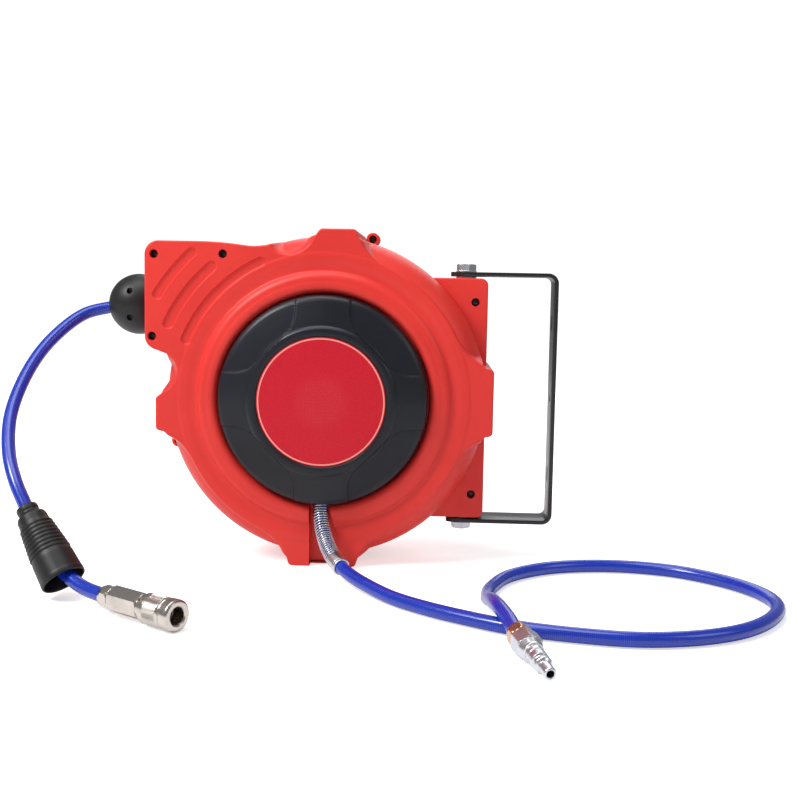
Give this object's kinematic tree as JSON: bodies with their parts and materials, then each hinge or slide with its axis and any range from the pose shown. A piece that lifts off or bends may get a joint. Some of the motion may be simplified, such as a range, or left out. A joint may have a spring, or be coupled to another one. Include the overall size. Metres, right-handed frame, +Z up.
{
  "type": "air hose reel",
  "caption": "Spring-return air hose reel in a round two-shell case on a flat foot, with a swinging wall bracket and a hose ending in a quick disconnect coupler.",
  "frame": {"origin": "on the flat foot, directly below the hub axis, in the parting plane of the case", "axes": "+Z up, hub axis along Y with the front facing -Y, +X towards the wall bracket"},
  "size_m": [0.6908, 0.4238, 0.32],
  "materials": {
    "case_red": "satin moulded plastic",
    "label_red": "printed plate, satin",
    "cover_black": "satin moulded plastic",
    "bracket_black": "black powder coat",
    "rubber_black": "matte",
    "hose_blue": "glossy polyurethane over braid",
    "zinc": "zinc plated",
    "nickel": "nickel plated",
    "copper_tint": "plated, warm tint",
    "brass": "machined",
    "spring_steel": "polished wire",
    "drum_grey": "satin"
  },
  "bodies": {
    "case": {"case_front": "case_red", "case_rear": "case_red", "hub_cover": "cover_black", "hub_label": "label_red", "case_screws": "zinc", "pivot_bolts": "zinc", "pivot_nuts": "zinc", "pivot_washers": "zinc", "main_shaft": "zinc", "shaft_lock_plate": "zinc", "lock_plate_screws": "zinc", "shaft_nut": "zinc", "spring_arbor": "spring_steel", "swivel_elbow": "brass", "guide_frame": "drum_grey", "roller_pins": "zinc", "pawl_pin": "zinc", "pawl_spring": "spring_steel", "feed_hose": "hose_blue", "stop_ball_front": "rubber_black", "stop_ball_rear": "rubber_black", "stop_ball_screws": "zinc", "outlet_hose": "hose_blue", "hose_boot": "rubber_black", "coupler_nut": "nickel", "coupler_body": "nickel", "coupler_ring": "nickel", "coupler_lock_pin": "nickel", "coupler_balls": "zinc", "coupler_seal": "rubber_black", "coupler_sleeve_spring": "spring_steel", "coupler_valve_spring": "spring_steel", "lead_hose": "hose_blue", "lead_spring_guard": "spring_steel", "guard_ferrule": "zinc", "plug_nut": "copper_tint", "plug_body": "zinc"},
    "drum": {"drum_front": "drum_grey", "drum_rear": "drum_grey", "drum_screws": "zinc", "drum_hose": "hose_blue", "ratchet_ring": "zinc", "front_bush": "brass", "rear_bush": "brass", "swivel_rotor": "brass", "swivel_seals": "rubber_black", "inner_hose": "hose_blue", "spring_cover": "zinc", "power_spring": "spring_steel"},
    "bracket": {"bracket": "bracket_black"},
    "roller_upper": {"roller_upper": "cover_black"},
    "roller_lower": {"roller_lower": "cover_black"},
    "roller_front": {"roller_front": "cover_black"},
    "roller_rear": {"roller_rear": "cover_black"},
    "pawl": {"pawl": "zinc"},
    "coupler_sleeve": {"coupler_sleeve": "nickel"},
    "coupler_valve": {"coupler_valve": "brass"}
  },
  "joints": [
    {"name": "bracket_swing", "type": "hinge", "parent": "case", "child": "bracket", "pos_m": [0.133, 0, 0.16], "axis": [0, 0, 1], "range_deg": [-90, 90]},
    {"name": "drum_spin", "type": "hinge", "parent": "case", "child": "drum", "pos_m": [0, 0, 0.16], "axis": [0, 1, 0], "continuous": true},
    {"name": "roller_upper_spin", "type": "hinge", "parent": "case", "child": "roller_upper", "pos_m": [-0.134, 0, 0.2672], "axis": [0, 1, 0], "continuous": true},
    {"name": "roller_lower_spin", "type": "hinge", "parent": "case", "child": "roller_lower", "pos_m": [-0.134, 0, 0.24], "axis": [0, 1, 0], "continuous": true},
    {"name": "roller_front_spin", "type": "hinge", "parent": "case", "child": "roller_front", "pos_m": [-0.15, -0.0136, 0.253], "axis": [0, 0, 1], "continuous": true},
    {"name": "roller_rear_spin", "type": "hinge", "parent": "case", "child": "roller_rear", "pos_m": [-0.15, 0.0136, 0.253], "axis": [0, 0, 1], "continuous": true},
    {"name": "pawl_drop", "type": "hinge", "parent": "case", "child": "pawl", "pos_m": [-0.07518, -0.0424, 0.13264], "axis": [0, -1, 0], "range_deg": [0, 7], "stiffness_Nm_per_rad": 0.05, "springref_deg": -5.73},
    {"name": "coupler_sleeve_slide", "type": "slide", "parent": "case", "child": "coupler_sleeve", "axis": [-0.8192, 0.5736, 0], "range_m": [0, 0.004], "stiffness_N_per_m": 1500, "springref_m": -0.003},
    {"name": "coupler_valve_slide", "type": "slide", "parent": "case", "child": "coupler_valve", "axis": [-0.8192, 0.5736, 0], "range_m": [0, 0.005], "stiffness_N_per_m": 600, "springref_m": -0.003}
  ]
}
